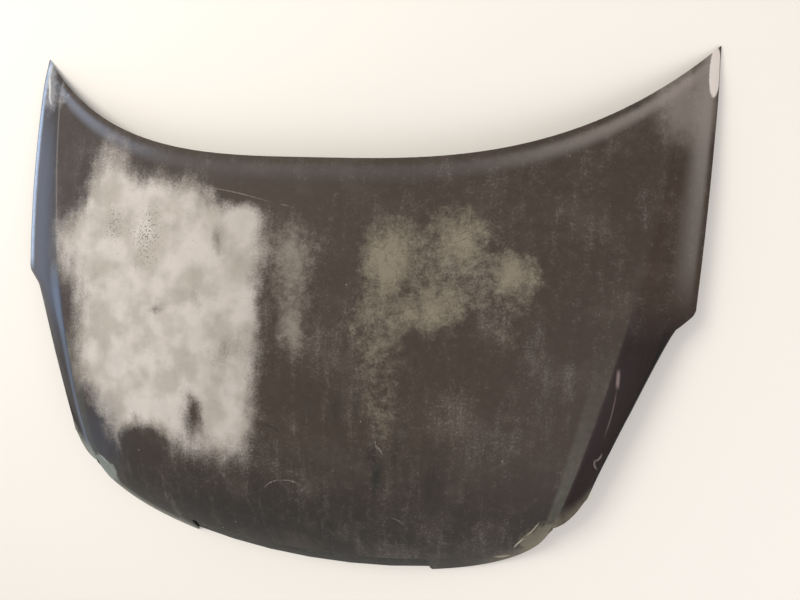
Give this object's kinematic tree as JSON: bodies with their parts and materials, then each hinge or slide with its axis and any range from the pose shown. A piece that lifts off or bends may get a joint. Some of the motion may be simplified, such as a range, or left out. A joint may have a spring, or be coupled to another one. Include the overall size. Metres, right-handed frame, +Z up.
{
  "type": "car bonnet",
  "caption": "Curved pressed-steel car bonnet with swept rear tips, side creases and a rolled nose, over a ribbed inner frame with striker and hinge seats.",
  "frame": {"origin": "centre of the bounding box on the surface that the bonnet lies on", "axes": "+X across the car to the right of the picture, +Y from the nose to the windscreen edge, +Z up through the outer skin"},
  "size_m": [1.4196, 1.0468, 0.1376],
  "materials": {
    "painted_skin": "faded matte dark brown-black paint with bleached clear coat",
    "painted_frame": "thin satin green-black paint",
    "plated_steel": "zinc plated",
    "rubber": "matte black",
    "mastic": "matte dark grey",
    "plastic": "natural nylon"
  },
  "bodies": {
    "root": {"outer_skin": "painted_skin", "inner_frame": "painted_frame", "hinge_plate_left": "plated_steel", "hinge_nut_left_1": "plated_steel", "hinge_nut_left_2": "plated_steel", "hinge_plate_right": "plated_steel", "hinge_nut_right_1": "plated_steel", "hinge_nut_right_2": "plated_steel", "striker_backing_plate": "plated_steel", "striker_plate": "plated_steel", "striker_loop": "plated_steel", "striker_bolt_1": "plated_steel", "striker_nut_1": "plated_steel", "striker_bolt_2": "plated_steel", "striker_nut_2": "plated_steel", "rubber_stop_front_left": "rubber", "rubber_stop_rear_left": "rubber", "rubber_stop_front_right": "rubber", "rubber_stop_rear_right": "rubber", "stay_grommet": "plastic", "mastic_pad_1": "mastic", "mastic_pad_2": "mastic", "mastic_pad_3": "mastic", "mastic_pad_4": "mastic", "mastic_pad_5": "mastic", "mastic_pad_6": "mastic", "mastic_pad_7": "mastic", "mastic_pad_8": "mastic", "mastic_pad_9": "mastic", "mastic_pad_10": "mastic", "mastic_pad_11": "mastic", "mastic_pad_12": "mastic"}
  },
  "joints": []
}
